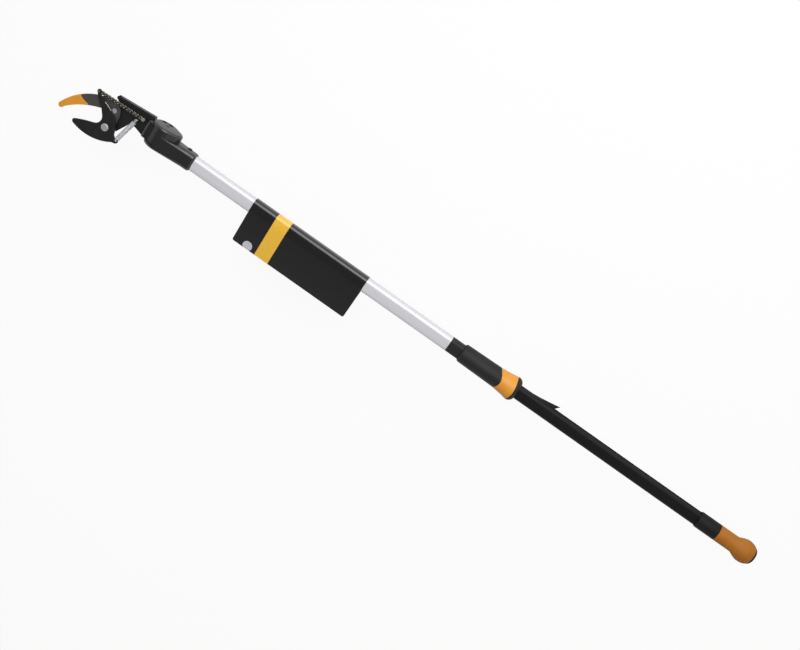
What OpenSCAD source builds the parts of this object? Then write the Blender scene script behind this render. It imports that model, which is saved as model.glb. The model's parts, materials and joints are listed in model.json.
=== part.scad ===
// Tree pruner on a fixed pole: hook and blade head, swivelling fork, sliding pull grip, ball handle.
// Origin: centre of the flat butt face. +X runs up the pole to the head, +Z out of the blade's plane.

/* [Pole] */
// Width of the upper pole, across the blade's plane of work
pole_w = 30; // [26:0.5:36]
// Thickness of the upper pole
pole_t = 22; // [20:0.5:26]
// Corner radius of the upper pole
pole_r = 8; // [6:0.5:9]
// Wall of the upper pole
pole_wall = 1.6; // [1.2:0.1:2]
// Length of upper pole that shows between the joint and the fork
pole_shown = 594; // [400:1:1200]
// Length of upper pole held inside the fork
pole_held = 26; // [20:1:27]
// Width of the lower tube
lower_w = 28; // [26:0.5:29]
// Thickness of the lower tube
lower_t = 20; // [18:0.5:21]
// Corner radius of the lower tube
lower_r = 7.5; // [6:0.5:8]
// Wall of the lower tube
lower_wall = 2; // [1.6:0.1:2.4]
// Length of lower tube that is free below the grip
runway = 420; // [300:1:700]
// Length of the joint that shows between the grip and the upper pole
joint_len = 28; // [24:1:50]
// Length of the joint's spigot inside the upper pole
spigot_len = 40; // [20:1:80]

/* [Handle end] */
// Radius of the ball
ball_r = 23; // [20:0.5:26]
// Length of the ball, butt to neck
ball_len = 44; // [38:1:50]
// Length of the handle's neck
handle_neck = 41; // [20:1:60]
// Radius of the handle's neck and of the ferrule
ferrule_r = 16.5; // [16:0.25:19]
// Length of the ferrule
ferrule_len = 45; // [30:1:80]
// Radius of the end cap
cap_r = 18; // [15:0.1:19]

/* [Sliding grip] */
// Radius of the grip's front end
grip_r = 19; // [18:0.25:21]
// Radius of the grip where it meets the flare
grip_r2 = 20.3; // [19:0.25:22]
// Radius of the flare at the collar
flare_r = 24.5; // [22:0.5:27]
// Length of the whole grip with its collar
grip_len = 130; // [110:1:180]
// Length of the collar
collar_len = 14; // [8:1:16]
// Length of the orange flare, measured at the grip's sides
flare_len = 35; // [25:1:50]
// How far the black sleeve's arched end reaches over the flare
tongue = 11; // [4:1:16]
// How far the flare's arched end reaches into the collar
collar_arch = 6; // [1:0.5:7]
// Travel of the grip
grip_travel = 178; // [120:1:200]

/* [Strap] */
// Width of the webbing
strap_w = 10; // [8:0.5:10]
// Thickness of the webbing
strap_t = 1.2; // [0.8:0.1:1.4]
// Length of the loose tail below the collar
tail_len = 84; // [60:1:120]

/* [Fork] */
// Length of the fork from its rear end to the swivel axis
fork_len = 80; // [72:1:100]
// Width of the fork's socket part
socket_w = 35; // [34:0.5:42]
// Thickness of the fork's socket part
socket_t = 30; // [28:0.5:36]
// Radius of the fork's round ears
ear_r = 27; // [26:0.5:32]
// Thickness of each ear
ear_t = 5.8; // [5:0.1:9]

/* [Head] */
// Length of the head from the swivel axis to the hook's tip
head_len = 205.8; // [195.6:0.1:209.8]
// Radius of the head's barrel
barrel_r = 24.6; // [22:0.2:24.6]
// Length of the barrel along the swivel axis
barrel_len = 35; // [34:0.5:44]
// Wall of the barrel
barrel_wall = 3.6; // [2.6:0.1:4]
// Thickness of the blade
blade_t = 3.8; // [3:0.1:4]
// Thickness of the hook plate
hook_t = 4; // [3:0.25:5]
// Thickness of the frame's web
web_t = 6; // [4:0.5:7]
// Depth of the rail behind the chain
rail_t = 10; // [6:0.5:10]
// Wall of the orange cover over the hook's tip
cover_wall = 1.1; // [0.8:0.1:1.1]
// Diameter of the pivot bolt
pivot_d = 8; // [6:0.5:10]
// Angle that shuts the blade, in degrees
blade_swing = 36; // [30:0.5:36]

/* [Chain, reel and spring] */
// Pitch of the chain
chain_pitch = 7.1; // [6:0.05:7.1]
// Number of links
chain_links = 14; // [10:2:14]
// Height of a link plate
link_h = 6.8; // [5:0.1:7]
// Thickness of a link plate
link_t = 0.9; // [0.7:0.05:0.9]
// Radius that the long strap winds on
reel_r = 18; // [14:0.25:18.5]
// Radius of the reel's shaft, which winds the chain's strap
hub_r = 3.6; // [3:0.1:3.6]
// Outer diameter of the return spring
spring_d = 9.5; // [8:0.1:9.6]
// Wire of the return spring
spring_wire = 1.3; // [1:0.05:1.4]
// Number of curls in the return spring
spring_curls = 20; // [14:1:21]

/* [Card] */
// Length of the sales card along the pole
card_len = 261; // [150:1:300]
// How far the card hangs past the pole's axis
card_drop = 81; // [50:1:100]
// Thickness of the card
card_t = 0.8; // [0.5:0.1:1.2]
// Distance from the card to the fork
card_gap = 137; // [20:1:200]

/* [Hidden] */
$fn = 48;

// Clearances
fit = 0.06;
slip = 0.3;
eps = 0.02;

// Stations along the pole
handle_end = ball_len + handle_neck;
ferrule_end = handle_end + ferrule_len;
grip_back = ferrule_end + runway;
grip_front = grip_back + grip_len;
joint_back = grip_front + slip;
pole_start = joint_back + joint_len;
fork_back = pole_start + pole_shown;
pole_end = fork_back + pole_held;
swivel_x = fork_back + fork_len;
card_end = fork_back - card_gap;

// Strap level: the strap lies flat and straight at one level from the grip into the upper pole
strap_y = -(lower_w / 2 - 1.4 - strap_t / 2);
groove_w = strap_w + 2;
groove_floor = strap_y + strap_t / 2 + slip;
flat_strap_end = pole_start + grip_travel + 150;

// Swivel: the barrel sits between the ears
barrel_top = 10.2;
barrel_bottom = barrel_top - barrel_len;
ear_gap = 0.3;
journal_r = 8;

// Head layers in Z
blade_z = blade_t / 2;
hook_z = -blade_z - 0.1;
web_z = hook_z - hook_t;
rail_front = -4.4;
collar_front = 16.5;
collar_root = 12;
collar_face = 31.5;

// Head points, from the swivel axis, in units of the drawn outlines
head_unit = head_len / 205.8;
pivot = head_unit * [103.4, 42.9];
arm_pin = head_unit * [146.4, -10.5];
spring_hole = head_unit * [73.3, 53];
post = head_unit * [58, -3.6];
hook_screw_at = head_unit * [103.9, 6.2];
guide = head_unit * [18, -14.5];
chain_dir = (guide - arm_pin) / norm(guide - arm_pin);
chain_tilt = atan2(chain_dir[1], chain_dir[0]);
pin_r = 1.3;

// Reel: the long strap winds on the drum above the chain's level
drum_low = -8.5;
drum_high = 4.5;
drum_mid = (drum_low + drum_high) / 2;
strap_clear = strap_t / 2 + 0.4;

// Shared 2D shapes and solids

module rounded2d(w, h, r) {
  square([w, h - 2 * r], center = true);
  square([w - 2 * r, h], center = true);
  for (sx = [-1, 1], sy = [-1, 1])
    translate([sx * (w / 2 - r), sy * (h / 2 - r)]) circle(r);
}

// Extrudes a section (first axis across, second axis up) along the pole
module along_x(x0, len) {
  translate([x0, 0, 0]) rotate([90, 0, 90]) linear_extrude(len) children();
}

// Turns a profile of [radius, station] about the pole's axis
module turned_x(profile) {
  rotate([0, 90, 0]) rotate_extrude() polygon(profile);
}

module rod_y(r, y0, y1) {
  translate([0, y0, 0]) rotate([-90, 0, 0]) cylinder(r = r, h = y1 - y0);
}

module rod_z(r, z0, z1) {
  translate([0, 0, z0]) cylinder(r = r, h = z1 - z0);
}

module plate(z0, t) {
  translate([0, 0, z0]) linear_extrude(t) children();
}

module at_head() {
  translate([swivel_x, 0, 0]) children();
}

// Points of an outline drawn in the head's own units
function drawn(points) = [for (p = points) head_unit * p];

// Points on the arc through three points
function arc3(a, b, c, n) =
  let (
    d = 2 * (a[0] * (b[1] - c[1]) + b[0] * (c[1] - a[1]) + c[0] * (a[1] - b[1])),
    sa = a * a,
    sb = b * b,
    sc = c * c,
    m = [
      (sa * (b[1] - c[1]) + sb * (c[1] - a[1]) + sc * (a[1] - b[1])) / d,
      (sa * (c[0] - b[0]) + sb * (a[0] - c[0]) + sc * (b[0] - a[0])) / d
    ],
    r = norm(a - m),
    t0 = atan2(a[1] - m[1], a[0] - m[0]),
    tb = atan2(b[1] - m[1], b[0] - m[0]) - t0,
    tc = atan2(c[1] - m[1], c[0] - m[0]) - t0,
    ub = tb < 0 ? tb + 360 : tb,
    uc = tc < 0 ? tc + 360 : tc,
    sweep = ub < uc ? uc : uc - 360
  )
  [for (i = [0 : n]) m + r * [cos(t0 + sweep * i / n), sin(t0 + sweep * i / n)]];

// Swept tubes and ribbons

function unit(v) = v / norm(v);
function tangents(p) = [
  for (i = [0 : len(p) - 1]) unit(p[min(i + 1, len(p) - 1)] - p[max(i - 1, 0)])
];
function squared(v, t) = unit(v - (v * t) * t);
function normals(t, start) = [
  for (i = 0, n = squared(start, t[0]); i < len(t);
       n = squared(n, t[min(i + 1, len(t) - 1)]), i = i + 1) n
];

// Skin over rings of points, all with the same count, with flat ends
module skin(rings) {
  m = len(rings[0]);
  n = len(rings);
  pts = [for (ring = rings) for (p = ring) p];
  sides = [
    for (i = [0 : n - 2], k = [0 : m - 1])
      let (a = i * m + k, b = i * m + (k + 1) % m)
        each [[a, a + m, b], [b, a + m, b + m]]
  ];
  first = [for (k = [1 : m - 2]) [0, k, k + 1]];
  last = [for (k = [1 : m - 2]) [(n - 1) * m, (n - 1) * m + k + 1, (n - 1) * m + k]];
  polyhedron(pts, concat(sides, first, last));
}

module tube(p, r, sides, start) {
  t = tangents(p);
  n = normals(t, start);
  skin([
    for (i = [0 : len(p) - 1])
      let (b = cross(t[i], n[i]))
        [for (k = [0 : sides - 1]) p[i] + r * (cos(360 * k / sides) * n[i] + sin(360 * k / sides) * b)]
  ]);
}

// Flat strap along +X through [x, y, z, twist]: at twist 0 its width lies along Z
module ribbon(stations, w, t) {
  skin([
    for (s = stations)
      let (
        wide = [0, sin(s[3]), cos(s[3])] * w / 2,
        thick = [0, cos(s[3]), -sin(s[3])] * t / 2,
        c = [s[0], s[1], s[2]]
      )
        [c + wide + thick, c + wide - thick, c - wide - thick, c - wide + thick]
  ]);
}

// Pole

module pole_section() { rounded2d(pole_w, pole_t, pole_r); }

module pole_bore() {
  rounded2d(pole_w - 2 * pole_wall, pole_t - 2 * pole_wall, pole_r - pole_wall);
}

module lower_section(gap = 0) {
  rounded2d(lower_w + 2 * gap, lower_t + 2 * gap, lower_r + gap);
}

module strap_groove(gap = 0) {
  translate([-lower_w, -groove_w / 2 - gap]) square([lower_w + groove_floor, groove_w + 2 * gap]);
}

module upper_pole() color("#d4d3d8") along_x(pole_start, pole_shown + pole_held) difference() {
  pole_section();
  pole_bore();
}

module lower_pole() color("#1a1a1b") along_x(handle_end - 40, joint_back + 14 - handle_end + 40) difference() {
  lower_section();
  strap_groove();
  intersection() {
    rounded2d(lower_w - 2 * lower_wall, lower_t - 2 * lower_wall, lower_r - lower_wall);
    translate([groove_floor + lower_wall, -lower_t / 2]) square([lower_w, lower_t]);
  }
}

// Neck between the tubes: a socket for the lower tube and a spigot for the upper pole
module pole_joint() color("#222224") difference() {
  union() {
    along_x(joint_back, joint_len) pole_section();
    along_x(pole_start - eps, spigot_len) offset_bore();
  }
  along_x(joint_back - eps, 14 + eps + slip) lower_section(fit);
  along_x(joint_back - eps, joint_len + spigot_len + 1) strap_slot();
  along_x(joint_back + 16, joint_len + spigot_len) translate([2, 0]) rounded2d(14, 10, 3);
}

module offset_bore() {
  rounded2d(pole_w - 2 * pole_wall - 2 * fit, pole_t - 2 * pole_wall - 2 * fit, pole_r - pole_wall - fit);
}

module strap_slot() {
  translate([strap_y - strap_t / 2 - 0.6, -groove_w / 2]) square([strap_t + 1.2, groove_w]);
}

module end_ferrule() color("#1f1f20") difference() {
  turned_x([
    [0, handle_end], [ferrule_r, handle_end], [ferrule_r, ferrule_end - 3], [ferrule_r - 1.6, ferrule_end],
    [0, ferrule_end]
  ]);
  along_x(handle_end - 1, ferrule_len + 2) lower_section(fit);
}

cap_rim = 6.2;
plug_end = cap_rim + 1.5;
plug_r = 10.9;
butt_r = 8;
cap_bend = (pow(cap_r - butt_r, 2) + pow(cap_rim, 2)) / (2 * cap_rim);
cap_turn = asin((cap_r - butt_r) / cap_bend);

ball_profile = concat(
  [[0, cap_rim]], [[cap_r, cap_rim]],
  arc3([cap_r, cap_rim], [ball_r * 0.93, ball_len * 0.29], [ball_r, ball_len * 0.58], 10),
  arc3([ball_r - 0.1, ball_len * 0.62], [ball_r * 0.86, ball_len * 0.84], [ferrule_r, ball_len], 8),
  [[ferrule_r, handle_end], [0, handle_end]]
);

module ball_handle() color("#b9701f") difference() {
  turned_x(ball_profile);
  along_x(handle_end - 40 - slip, 60) lower_section(fit);
  rotate([0, 90, 0]) translate([0, 0, -1]) cylinder(r = plug_r + 0.1, h = plug_end + 1);
}

// Black cap over the end of the ball: a low dome with a flat butt face, and a plug behind it
module end_cap() color("#1f1f20") {
  turned_x(concat(
    [[0, 0], [butt_r, 0]],
    arc3([butt_r, 0], [butt_r + cap_bend * sin(cap_turn / 2), cap_bend * (1 - cos(cap_turn / 2))], [cap_r, cap_rim], 8),
    [[plug_r, cap_rim], [plug_r, plug_end], [0, plug_end]]
  ));
}

// Fork: two shells that meet in the blade's plane

module socket_block() {
  r = 8;
  hull() for (sx = [fork_back + r, swivel_x - ear_r + 10], sy = [-1, 1], sz = [-1, 1])
    translate([sx, sy * (socket_w / 2 - r), sz * (socket_t / 2 - r)]) sphere(r, $fn = 32);
}

ear_low = barrel_bottom - ear_gap - ear_t;
ear_high = barrel_top + ear_gap + ear_t;
ear_soft = 3;
fork_wall_to = 2;

module ear_drum() at_head() rotate([-90, 0, 0]) rotate_extrude() polygon(concat(
  [[0, ear_low]],
  [for (i = [0 : 6]) [ear_r - hump_soft + hump_soft * sin(15 * i), ear_low + hump_soft - hump_soft * cos(15 * i)]],
  [for (i = [0 : 6]) [ear_r - ear_soft + ear_soft * cos(15 * i), ear_high - ear_soft + ear_soft * sin(15 * i)]],
  [[0, ear_high]]
));

// Hump that runs back from the lower ear over the socket
module hump() hull() for (h = [[0, ear_r], [-hump_back, hump_r]])
  at_head() translate([h[0], 0, 0]) rotate([-90, 0, 0]) rotate_extrude($fn = 40) polygon(concat(
    [[0, ear_low]],
    [for (i = [0 : 5]) [h[1] - hump_soft + hump_soft * sin(18 * i), ear_low + hump_soft - hump_soft * cos(18 * i)]],
    [[h[1], -socket_w / 2 + 4], [0, -socket_w / 2 + 4]]
  ));

// Skirt that narrows from the drum to the socket, so the broad side runs on without a step
module skirt() hull() {
  at_head() rotate([-90, 0, 0]) rotate_extrude($fn = 40) polygon(concat(
    [[0, -socket_w / 2 + 4], [ear_r, -socket_w / 2 + 4]],
    [for (i = [0 : 5]) [ear_r - ear_soft + ear_soft * cos(18 * i), ear_high - ear_soft + ear_soft * sin(18 * i)]],
    [[0, ear_high]]
  ));
  for (sy = [-1, 1], sz = [-1, 1])
    translate([swivel_x - skirt_back, sy * (socket_w / 2 - 8), sz * (socket_t / 2 - 8)]) sphere(8, $fn = 32);
}

skirt_back = 60;
hump_back = 17;
hump_r = 18.5;
hump_soft = 5;

// Round wall that ties the lower ear to the socket, behind the barrel
module fork_solid() difference() {
  union() {
    socket_block();
    ear_drum();
    hump();
    skirt();
  }
  at_head() rod_y(barrel_r + ear_gap, barrel_bottom - ear_gap, barrel_top + ear_gap);
  at_head() translate([fork_wall_to, barrel_bottom - ear_gap, -50]) cube([100, barrel_len + 2 * ear_gap, 100]);
  at_head() rod_y(journal_r + fit, ear_low + 1.5, ear_high - 1.5);
  at_head() rod_y(hub_r + fit, ear_low - 1, ear_high + 1);
  along_x(fork_back - 1, pole_held + 1 + slip) rounded2d(pole_w + 2 * fit, pole_t + 2 * fit, pole_r + fit);
  strap_way();
  screw_holes();
  pole_screw_hole();
  swivel_screw_holes();
}

// Slanted passage of the strap from the pole's mouth to the barrel
module strap_way() {
  translate([pole_end - 1, drum_mid - strap_w / 2 - 1, strap_in_pole_z - 2])
    cube([roller_x - pole_end + 1, strap_w + 2, 4]);
  translate([roller_x, drum_mid - strap_w / 2 - 1, strap_in_pole_z]) rotate([0, -wind_tilt, 0])
    translate([-1, 0, -strap_gap]) cube([swivel_x - roller_x, strap_w + 2, 2 * strap_gap]);
  at_roller() rod_y(roller_r + slip, drum_mid - strap_w / 2 - 1, drum_mid + strap_w / 2 + 1);
  at_roller() rod_y(roller_pin_r + fit, drum_mid - strap_w / 2 - 5, drum_mid + strap_w / 2 + 5);
}

strap_gap = 1.7;
roller_r = 3;
roller_pin_r = 1.5;
roller_x = pole_end + 4;
strap_in_pole_z = 5.5;
roller_z = strap_in_pole_z + strap_t / 2 + slip + roller_r;

module at_roller() translate([roller_x, 0, roller_z]) children();

// Roller on its pin that leads the strap from the pole to the reel
module guide_roller() color("#9a9a9e") {
  at_roller() rod_y(roller_r, drum_mid - strap_w / 2 - 0.6, drum_mid + strap_w / 2 + 0.6);
  at_roller() rod_y(roller_pin_r, drum_mid - strap_w / 2 - 4.6, drum_mid + strap_w / 2 + 4.6);
}

screw_d = 3;
screw_head_r = 2.8;
fork_screws = [
  for (x = [pole_end + 9, pole_end + 19], y = [-1, 1]) [x, y * (socket_w / 2 - 4.8)]
];
screw_front = socket_t / 2 - 7;
screw_seat = -socket_t / 2 + 3;

module screw_holes() for (s = fork_screws) translate([s[0], s[1], 0]) {
  rod_z(screw_d / 2 + fit, screw_seat - 1, screw_front);
  rod_z(screw_head_r + 0.2, -socket_t, screw_seat);
}

module housing_screws() color("#3a3a3c") for (s = fork_screws) translate([s[0], s[1], 0]) difference() {
  union() {
    rod_z(screw_d / 2, screw_seat - 0.5, screw_front - 0.5);
    rod_z(screw_head_r, screw_seat - 2.2, screw_seat);
  }
  translate([0, 0, screw_seat - 3]) cylinder(r = 1.3, h = 2, $fn = 6);
}

pole_screw_at = [fork_back + 22, -5];

module pole_screw_hole() translate([pole_screw_at[0], 0, pole_screw_at[1]]) {
  rod_y(2 + fit, -socket_w, -pole_w / 2 + pole_wall - 1);
  rod_y(5.2, -socket_w, -socket_w / 2 + 0.6);
}

// Dome-headed screw that keeps the pole in the fork
module pole_screw() color("#29292b") translate([pole_screw_at[0], 0, pole_screw_at[1]]) {
  rod_y(2, -socket_w / 2 + 0.5, -pole_w / 2 - 0.1);
  translate([0, -socket_w / 2 + 0.6, 0]) rotate([90, 0, 0])
    rotate_extrude() polygon([[0, 0], [5, 0], [4.6, 1.4], [3.2, 2.2], [0, 2.4]]);
}

swivel_screw_at = [[-1, -14.5], [12, -12]];
swivel_screw_deep = 2.4;

module swivel_screw_holes() at_head() for (s = swivel_screw_at) translate([s[0], 0, s[1]]) {
  rod_y(5, ear_low - 1, ear_low + swivel_screw_deep);
  rod_y(1.5 + fit, ear_low, ear_low + ear_t - 0.6);
}

// Screws in the recesses of the lower ear that set how stiff the swivel is
module swivel_screws() color("#2c2c2e") at_head() for (s = swivel_screw_at) translate([s[0], 0, s[1]]) difference() {
  union() {
    rod_y(3.6, ear_low + swivel_screw_deep - 1.6, ear_low + swivel_screw_deep);
    rod_y(1.5, ear_low + swivel_screw_deep - 0.5, ear_low + ear_t - 1);
  }
  translate([0, ear_low + swivel_screw_deep - 2, 0]) rotate([-90, 0, 0]) cylinder(r = 1.6, h = 1.2, $fn = 6);
}

module housing_front() color("#29292d") intersection() {
  fork_solid();
  translate([fork_back - 10, -60, 0]) cube([160, 120, 60]);
}

module housing_back() color("#29292d") intersection() {
  fork_solid();
  translate([fork_back - 10, -60, -60]) cube([160, 120, 60]);
}

// Sales card: a folded sleeve round the pole whose two flaps meet past the far side
card_room = 0.3;

module card_outline(gap) {
  hull() {
    rounded2d(pole_w + 2 * gap, pole_t + 2 * gap, pole_r + gap, $fn = 32);
    translate([card_drop - 6, -card_t]) square([6 - (card_room + card_t - gap) * 4, 2 * (gap - card_room)]);
  }
}

module card_sleeve() color("#232323") intersection() {
  along_x(card_end - card_len, card_len) difference() {
    card_outline(card_room + card_t);
    hull() {
      rounded2d(pole_w + 2 * card_room, pole_t + 2 * card_room, pole_r + card_room, $fn = 32);
      translate([card_drop - 12, -0.1]) square([1, 0.2]);
    }
  }
  plate(-30, 60) card_face();
}

card_corner = 4;

module card_face() translate([card_end - card_len, 0]) {
  translate([0, -pole_w]) square([card_len, pole_w + card_drop - card_corner]);
  translate([card_corner, card_drop - card_corner - eps]) square([card_len - 2 * card_corner, card_corner + eps]);
  for (x = [card_corner, card_len - card_corner]) translate([x, card_drop - card_corner]) circle(card_corner);
}

// Head frame: swivel barrel, web that carries the pivot, and the rail behind the chain

neck_low = barrel_bottom + 0.2;
neck_high = barrel_top - 0.2;

module web_outline() polygon(concat(
  [[collar_root, neck_low], head_unit * [111, -24.6], head_unit * [111, -16.8], head_unit * [100, -8]],
  [pivot + head_unit * [13.4, -8.9]],
  rim(pivot, 13.4 * head_unit, 0, 180, 12),
  [pivot + head_unit * [-19.6, -2.9]],
  drawn([[67.5, 11.2], [56.8, 10.1], [38.6, 15.6], [33, 16.6]]),
  [[28.2, neck_high], [collar_root, neck_high]]
));

// Thicker collar where the neck leaves the barrel
module collar_outline() polygon([
  [collar_root, neck_low], [collar_face, neck_low], [collar_face + 0.6, (neck_low + neck_high) / 2],
  [collar_face, neck_high], [collar_root, neck_high]
]);

module rail_outline() polygon(concat(
  drawn([[14, -16.8], [111, -16.8], [113, -19], [113, -21.5], [111, -23.8]]),
  [[29.5, -30.4], [28, neck_low], [14, neck_low]]
));

module head_frame() color("#1d1d1f") at_head() difference() {
  union() {
    barrel();
    difference() {
      plate(web_z - web_t, web_t) web_outline();
      rod_y(barrel_r - 1, -60, 60);
    }
    difference() {
      plate(rail_front - rail_t, rail_t) rail_outline();
      rod_y(barrel_r - 1, -60, 60);
    }
    difference() {
      plate(rail_front - rail_t, rail_t + collar_front - rail_front) collar_outline();
      rod_y(barrel_r - 1, -60, 60);
    }
  }
  translate([0, -21.6, -4.6]) cube([60, 12.6, 9.2]);
  translate([pivot[0], pivot[1], 0]) rod_z(pivot_d / 2 + fit, -40, 40);
  translate([hook_screw_at[0], hook_screw_at[1], 0]) rod_z(1.6 + fit, -40, 40);
  translate([post[0], post[1], 0]) rod_z(1.8 + fit, web_z - 4, 0);
}

// Hollow barrel, slotted round its rear at the level where the long strap comes in
module barrel() difference() {
  union() {
    rod_y(barrel_r, barrel_bottom, barrel_top);
    rod_y(journal_r, barrel_bottom - 4.4, barrel_top + 4.4);
  }
  rod_y(barrel_r - barrel_wall, barrel_bottom + 4, barrel_top - 4);
  rod_y(hub_r + fit, barrel_bottom - 10, barrel_top + 10);
  translate([0, drum_high + 0.8, 0]) rotate([90, 0, 0]) linear_extrude(drum_high - drum_low + 1.6)
    polygon(concat([[0, 0]], [for (a = slot_sector) 60 * [cos(a), sin(a)]]));
}

slot_sector = [84 : 13 : 188];

// Hook: grey plate behind the blade, with an orange cover over its tip

hook_inner = drawn(arc3([128.8, 16.7], [162.3, 32.1], [194.9, 58.2], 12));
hook_tip = drawn(arc3([194.9, 58.2], [203, 62.6], [205.8, 56.5], 6));
hook_outer = drawn(arc3([205.8, 56.5], [181.8, 22.6], [149.1, -0.3], 12));

module hook_outline() {
  polygon(concat(
    hook_inner, hook_tip, hook_outer,
    drawn([[133.9, -6.4], [99.9, -6.4]]),
    drawn(arc3([97, -5.2], [91.6, 4.6], [89.8, 17], 8)),
    drawn([[89.3, 40], [116.5, 40], [116.6, 21]])
  ));
  translate(pivot) circle(14 * head_unit);
}

// The cover's side of the slanted line where it gives way to the bare plate
module cover_zone() polygon(drawn([
  [178.5, 6], [174.8, 18.4], [172, 20.6], [167.7, 22.5], [162, 23.8], [154.5, 25], [154.5, 60],
  [220, 100], [220, 6]
]));

module hook_plate() color("#4e4c48") at_head() difference() {
  union() {
    plate(web_z, hook_t) difference() {
      hook_outline();
      cover_zone();
    }
    plate(web_z, hook_t - cover_wall) tongue_outline();
  }
  translate([pivot[0], pivot[1], 0]) rod_z(pivot_d / 2 + fit, -40, 40);
  translate([hook_screw_at[0], hook_screw_at[1], 0]) {
    rod_z(1.6 + fit, -40, 40);
    translate([0, 0, hook_z - 2.2]) cylinder(r1 = 3, r2 = 5.2, h = 2.2 + eps);
  }
}

// Thinner end of the plate inside the cover
module tongue_outline() intersection() {
  offset(delta = -cover_wall) hook_outline();
  translate(head_unit * [142, -20]) square(head_unit * [80, 100]);
}

module hook_cover() color("#db962a") at_head() difference() {
  plate(web_z - cover_wall, hook_t + cover_wall) intersection() {
    hook_outline();
    cover_zone();
  }
  plate(web_z, hook_t - cover_wall) tongue_outline();
}

module hook_screw() color("#b9b6bd") at_head() translate([hook_screw_at[0], hook_screw_at[1], 0]) difference() {
  union() {
    translate([0, 0, hook_z - 2.1]) cylinder(r1 = 2.9, r2 = 5, h = 2);
    rod_z(1.6, web_z - web_t + 0.5, hook_z - 2);
  }
  translate([0, 0, hook_z - 1.4]) cylinder(r = 1.5, h = 2, $fn = 6);
}

bolt_head_r = 7.6;
bolt_head_h = 3.2;

module pivot_bolt() color("#8f8f92") at_head() translate([pivot[0], pivot[1], 0]) {
  rod_z(pivot_d / 2, web_z - web_t - 5, blade_z + 1);
  translate([0, 0, blade_z + 0.1]) rotate_extrude() polygon([
    [0, 0], [bolt_head_r, 0], [bolt_head_r, bolt_head_h - 1.2], [bolt_head_r - 1.4, bolt_head_h], [0, bolt_head_h]
  ]);
}

module pivot_nut() color("#77777a") at_head() translate([pivot[0], pivot[1], 0]) difference() {
  translate([0, 0, web_z - web_t - 5.2]) cylinder(r = 7.5, h = 5.2, $fn = 6);
  rod_z(pivot_d / 2 + 0.02, -40, 40);
}

module spring_post() color("#8b8b8e") at_head() translate([post[0], post[1], 0]) {
  rod_z(1.8, web_z - 3, 2.4);
  rod_z(2.6, 2.2, 3);
}

// Return spring: one wire with a loop round the post, the curls, and a hook through the blade's hole

spring_a = [spring_hole[0], spring_hole[1], 0] - [post[0], post[1], 0];
spring_len = norm(spring_a);
spring_u = spring_a / spring_len;
spring_v = cross(spring_u, [0, 0, 1]);
coil_r = (spring_d - spring_wire) / 2;
ring_r = 1.8 + spring_wire / 2 + 0.15;
coil_from = ring_r + 2.2;
coil_to = spring_len - coil_r;
curl_steps = 8;

function on_spring(along, across, up) =
  [post[0], post[1], 0] + along * spring_u + across * spring_v + [0, 0, up];

spring_path = concat(
  [for (i = [0 : 6]) on_spring(ring_r * cos(230 - 45 * i), ring_r * sin(230 - 45 * i), 0)],
  [for (i = [0 : spring_curls * curl_steps])
    let (a = 360 * i / curl_steps + 90, s = coil_from + (coil_to - coil_from) * i / (spring_curls * curl_steps))
      on_spring(s, coil_r * cos(a), coil_r * sin(a))],
  [for (i = [1 : 4]) on_spring(coil_to + coil_r * sin(40 * i), 0, coil_r * cos(40 * i))]
);

spring_gap = min([
  for (i = [0 : len(spring_path) - 6], j = [i + 5 : len(spring_path) - 1])
    norm(spring_path[i] - spring_path[j])
]) - spring_wire;
echo(spring_least_gap = spring_gap);

module return_spring() color("#b4b6ba") at_head() tube(spring_path, spring_wire / 2, 6, [0, 0, 1]);

// Short strap from the chain's last pin to the reel's shaft
module hub_strap() color("#2a2a2a") {
  tail = arm_pin + chain_dir * chain_pitch * chain_links;
  ribbon([
    [swivel_x + 2, tail[1], hub_r + 0.5, 90],
    [swivel_x + tail[0] - link_h / 2 - 1, tail[1], 1.2, 90]
  ], 5, 0.8);
}

// Blade: cutting jaw, arm for the chain and tail for the spring, in one black plate

function rim(c, r, from, to, n) = [
  for (i = [0 : n]) let (a = from + (to - from) * i / n) c + r * [cos(a), sin(a)]
];

module blade_outline() difference() {
  polygon(concat(
    drawn(arc3([79.4, 60.9], [135.7, 77], [162.2, 72.5], 16)),
    drawn(arc3([162.9, 72.3], [165.7, 69.6], [166.1, 66.2], 4)),
    drawn(arc3([164.3, 64], [144, 54.6], [127.9, 48.8], 6)),
    drawn(arc3([125.2, 47.4], [118.1, 40], [120.5, 24.8], 8)),
    drawn([[127.5, 15], [134, 10.2]]),
    rim(arm_pin, eye_r, 35, -215, 14),
    drawn([[141.1, -6.3], [138, -5.2], [109.7, 6.6]]),
    drawn(arc3([95.6, 15.8], [87.9, 28], [83, 40], 6)),
    drawn(arc3([82.4, 43.4], [81.1, 46.2], [78.6, 48.6], 3)),
    rim(spring_hole + head_unit * [0.2, 1.1], tail_r, -45, -265, 12)
  ));
  translate(arm_pin) circle(pin_r + fit);
  translate(spring_hole) circle(2.2);
}

// Clears the chain's plates round the arm's eye
module eye_relief() translate([arm_pin[0], arm_pin[1], 0]) for (z = [-1, 1])
  translate([0, 0, z * (blade_eye_t / 2 + 3)]) cylinder(r = 6.4, h = 6, center = true);

blade_eye_t = 2.6;
eye_r = 4.4;
tail_r = 5.2;

module blade() color("#1c1c1e") at_head() difference() {
  plate(-blade_z, blade_t) blade_outline();
  translate([pivot[0], pivot[1], 0]) rod_z(pivot_d / 2 + fit, -40, 40);
  eye_relief();
}

// Chain: outer plates and inner plates by turns, from the arm's eye to the reel's strap

inner_gap = blade_eye_t + 0.3;
inner_z = inner_gap / 2;
outer_z = inner_z + link_t + 0.1;

module at_chain() at_head() translate([arm_pin[0], arm_pin[1], 0]) rotate([0, 0, chain_tilt]) children();

module link_outline() {
  for (x = [0, chain_pitch]) translate([x, 0]) circle(link_h / 2);
  translate([0, -link_h * 0.36]) square([chain_pitch, link_h * 0.72]);
}

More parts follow.
